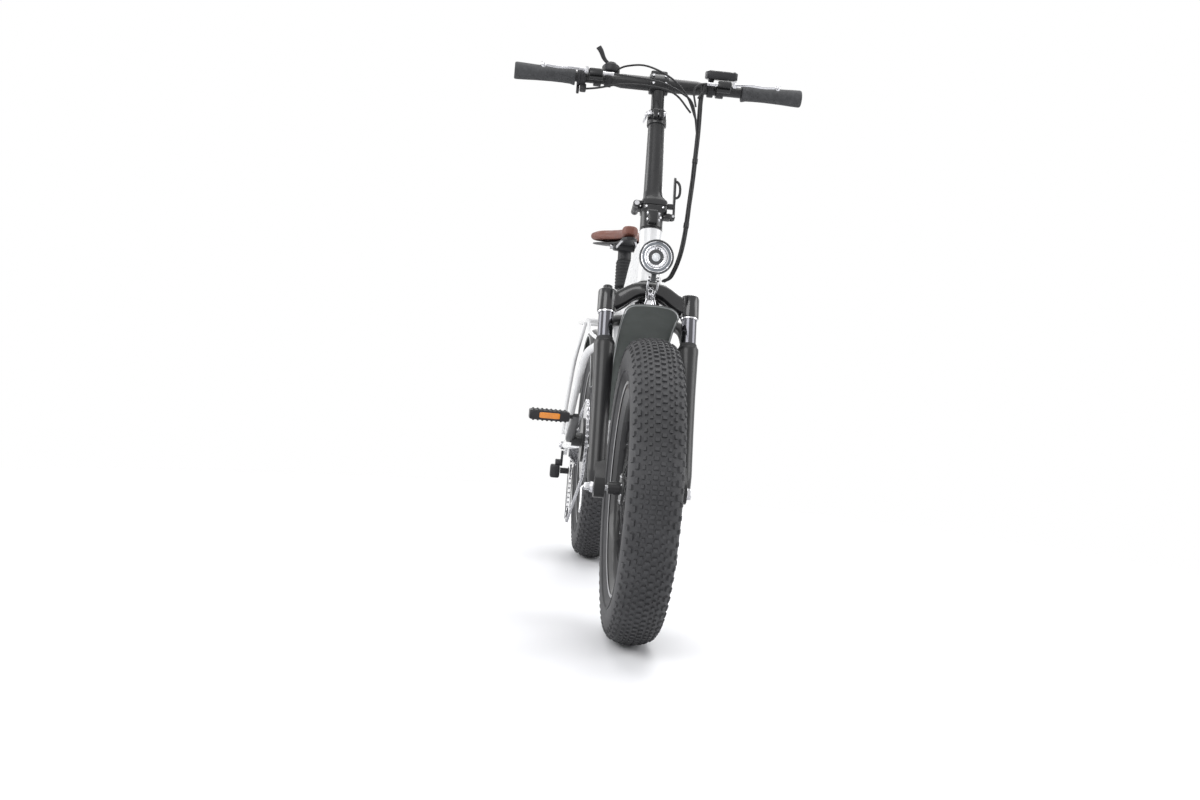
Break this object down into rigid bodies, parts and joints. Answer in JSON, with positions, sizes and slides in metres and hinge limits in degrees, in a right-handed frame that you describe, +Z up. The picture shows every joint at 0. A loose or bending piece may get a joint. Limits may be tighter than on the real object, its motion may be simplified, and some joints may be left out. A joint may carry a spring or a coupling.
{
  "type": "folding electric bike",
  "caption": "Folding fat-tyre electric bike: hinged main frame, folding mast with sliding bar, sprung fork and saddle post, spinning wheels, cranks and pedals, working levers, rack and stand",
  "frame": {"origin": "bottom centre of the bounding box, on the ground midway between the axles", "axes": "+Z up; the bike faces -Y and its length runs along Y; -X is the drive side, the rider's right"},
  "size_m": [0.61, 1.69, 1.1908],
  "materials": {
    "white_paint": "gloss white paint on alloy tube",
    "black_metal": "black coated alloy",
    "alloy": "satin alloy",
    "steel": "satin steel",
    "chrome": "bright chrome",
    "tyre": "black tyre rubber",
    "rubber": "matt black rubber",
    "black_plastic": "matt black plastic",
    "leather": "smooth reddish brown leather"
  },
  "bodies": {
    "rear_frame": {"rear_frame": "white_paint", "chainstay_right": "white_paint", "chainstay_left": "white_paint", "seatstay_right": "white_paint", "seatstay_left": "white_paint", "rear_axle": "steel", "rear_mudguard": "black_plastic", "rear_rack": "white_paint", "chain": "steel", "derailleur": "alloy", "rear_caliper": "black_metal"},
    "front_frame": {"front_frame": "white_paint", "battery_pack": "black_plastic", "fold_pin": "steel", "cable_loom": "rubber"},
    "fold_latch": {"fold_latch": "alloy"},
    "steering": {"fork_crown": "black_metal", "stem_base": "black_metal", "front_mudguard": "black_plastic", "lamp_bracket": "chrome"},
    "headlight": {"headlight": "black_plastic"},
    "fork_lowers": {"fork_lowers": "black_metal", "front_axle": "steel", "front_caliper": "black_metal"},
    "front_lever": {"front_lever": "alloy"},
    "front_wheel": {"front_wheel": "black_metal", "front_tyre": "tyre", "front_rotor": "steel"},
    "rear_wheel": {"rear_wheel": "black_metal", "rear_tyre": "tyre", "rear_rotor": "steel"},
    "mast": {"mast": "black_metal"},
    "mast_latch": {"mast_latch": "black_metal"},
    "mast_lever": {"mast_lever": "alloy"},
    "bar": {"stem_tube": "black_metal", "handlebar": "black_metal", "grip_right": "rubber", "grip_left": "rubber", "brake_perch_right": "black_plastic", "brake_perch_left": "black_plastic", "shifter": "black_plastic", "throttle": "black_plastic", "display": "black_plastic", "bar_cable": "rubber"},
    "brake_lever_right": {"brake_lever_right": "alloy"},
    "brake_lever_left": {"brake_lever_left": "alloy"},
    "shifter_paddle": {"shifter_paddle": "black_plastic"},
    "throttle_lever": {"throttle_lever": "black_plastic"},
    "seatpost": {"seatpost": "black_metal", "seat_boot": "rubber"},
    "saddle": {"saddle": "leather", "saddle_frame": "black_metal"},
    "seat_lever": {"seat_lever": "alloy"},
    "crank": {"crankset": "black_metal", "chainring": "steel"},
    "pedal_right": {"pedal_right": "black_plastic"},
    "pedal_left": {"pedal_left": "black_plastic"},
    "cassette": {"cassette": "steel"},
    "derailleur_cage": {"derailleur_cage": "steel"},
    "kickstand": {"kickstand": "black_metal"}
  },
  "joints": [
    {"name": "frame_fold", "type": "hinge", "parent": "rear_frame", "child": "front_frame", "pos_m": [0.052, -0.085, 0.6164], "axis": [0, 0, -1], "range_deg": [-115, 0]},
    {"name": "fold_latch_hinge", "type": "hinge", "parent": "front_frame", "child": "fold_latch", "pos_m": [-0.048, -0.091, 0.6164], "axis": [0, 0, -1], "range_deg": [0, 100]},
    {"name": "steering", "type": "hinge", "parent": "front_frame", "child": "steering", "pos_m": [0, -0.51258, 0.27498], "axis": [0, 0.3338, 0.9426], "range_deg": [-45, 45], "deforming": ["cable_loom"]},
    {"name": "lamp_tilt", "type": "hinge", "parent": "steering", "child": "headlight", "pos_m": [0, -0.45922, 0.69527], "axis": [1, 0, 0], "range_deg": [-20, 20]},
    {"name": "fork_travel", "type": "slide", "parent": "steering", "child": "fork_lowers", "axis": [0, 0.3338, 0.9426], "range_m": [0, 0.04], "stiffness_N_per_m": 9000, "springref_m": -0.01},
    {"name": "front_lever_hinge", "type": "hinge", "parent": "fork_lowers", "child": "front_lever", "pos_m": [-0.1018, -0.555, 0.29], "axis": [0, 0.9426, -0.3338], "range_deg": [0, 95]},
    {"name": "front_wheel_spin", "type": "hinge", "parent": "fork_lowers", "child": "front_wheel", "pos_m": [0, -0.555, 0.29], "axis": [1, 0, 0], "continuous": true},
    {"name": "rear_wheel_spin", "type": "hinge", "parent": "rear_frame", "child": "rear_wheel", "pos_m": [0, 0.555, 0.29], "axis": [1, 0, 0], "continuous": true},
    {"name": "mast_fold", "type": "hinge", "parent": "steering", "child": "mast", "pos_m": [-0.034, -0.31029, 0.84622], "axis": [0, -0.9426, 0.3338], "range_deg": [0, 105], "deforming": ["cable_loom"]},
    {"name": "mast_latch_hinge", "type": "hinge", "parent": "steering", "child": "mast_latch", "pos_m": [0.043, -0.31563, 0.83114], "axis": [0, 0.9426, -0.3338], "range_deg": [0, 100]},
    {"name": "mast_lever_hinge", "type": "hinge", "parent": "mast", "child": "mast_lever", "pos_m": [-0.016, -0.2659, 1.04797], "axis": [0, 0.3338, 0.9426], "range_deg": [0, 95]},
    {"name": "bar_height", "type": "slide", "parent": "mast", "child": "bar", "axis": [0, 0.3338, 0.9426], "range_m": [-0.04, 0.06], "deforming": ["cable_loom"]},
    {"name": "brake_lever_right_hinge", "type": "hinge", "parent": "bar", "child": "brake_lever_right", "pos_m": [-0.156, -0.25131, 1.12661], "axis": [0, -0.3338, -0.9426], "range_deg": [0, 13], "stiffness_Nm_per_rad": 0.6, "springref_deg": -8.59},
    {"name": "brake_lever_left_hinge", "type": "hinge", "parent": "bar", "child": "brake_lever_left", "pos_m": [0.156, -0.25131, 1.12661], "axis": [0, 0.3338, 0.9426], "range_deg": [0, 13], "stiffness_Nm_per_rad": 0.6, "springref_deg": -8.59},
    {"name": "shifter_paddle_hinge", "type": "hinge", "parent": "bar", "child": "shifter_paddle", "pos_m": [-0.102, -0.18933, 1.15187], "axis": [0, 0.3338, 0.9426], "range_deg": [0, 22], "stiffness_Nm_per_rad": 0.3, "springref_deg": -5.73},
    {"name": "throttle_lever_hinge", "type": "hinge", "parent": "bar", "child": "throttle_lever", "pos_m": [-0.1695, -0.21416, 1.1177], "axis": [-1, 0, 0], "range_deg": [0, 40], "stiffness_Nm_per_rad": 0.2, "springref_deg": -11.46},
    {"name": "seatpost_slide", "type": "slide", "parent": "rear_frame", "child": "seatpost", "axis": [0, 0.309, 0.9511], "range_m": [-0.05, 0.06]},
    {"name": "seat_lever_hinge", "type": "hinge", "parent": "rear_frame", "child": "seat_lever", "pos_m": [-0.019, 0.24731, 0.60986], "axis": [0, 0, -1], "range_deg": [0, 95]},
    {"name": "saddle_travel", "type": "slide", "parent": "seatpost", "child": "saddle", "axis": [0, 0.309, 0.9511], "range_m": [-0.03, 0], "stiffness_N_per_m": 12000, "springref_m": 0.006, "deforming": ["seat_boot"]},
    {"name": "crank_spin", "type": "hinge", "parent": "rear_frame", "child": "crank", "pos_m": [0, 0.125, 0.335], "axis": [1, 0, 0], "continuous": true},
    {"name": "pedal_right_spin", "type": "hinge", "parent": "crank", "child": "pedal_right", "pos_m": [0, -0.03423, 0.39454], "axis": [1, 0, 0], "continuous": true},
    {"name": "pedal_left_spin", "type": "hinge", "parent": "crank", "child": "pedal_left", "pos_m": [0, 0.28423, 0.27547], "axis": [1, 0, 0], "continuous": true},
    {"name": "cassette_spin", "type": "hinge", "parent": "rear_frame", "child": "cassette", "pos_m": [0, 0.555, 0.29], "axis": [1, 0, 0], "continuous": true},
    {"name": "derailleur_cage_hinge", "type": "hinge", "parent": "rear_frame", "child": "derailleur_cage", "pos_m": [-0.0695, 0.565, 0.222], "axis": [-1, 0, 0], "range_deg": [0, 25], "stiffness_Nm_per_rad": 0.4, "springref_deg": -17.19, "deforming": ["chain"]},
    {"name": "kickstand_hinge", "type": "hinge", "parent": "rear_frame", "child": "kickstand", "pos_m": [0.115, 0.375, 0.3], "axis": [1, 0, 0], "range_deg": [0, 85]}
  ],
  "couplings": [
    {"joint": "cassette_spin", "follows": "crank_spin", "ratio": 2.6}
  ]
}
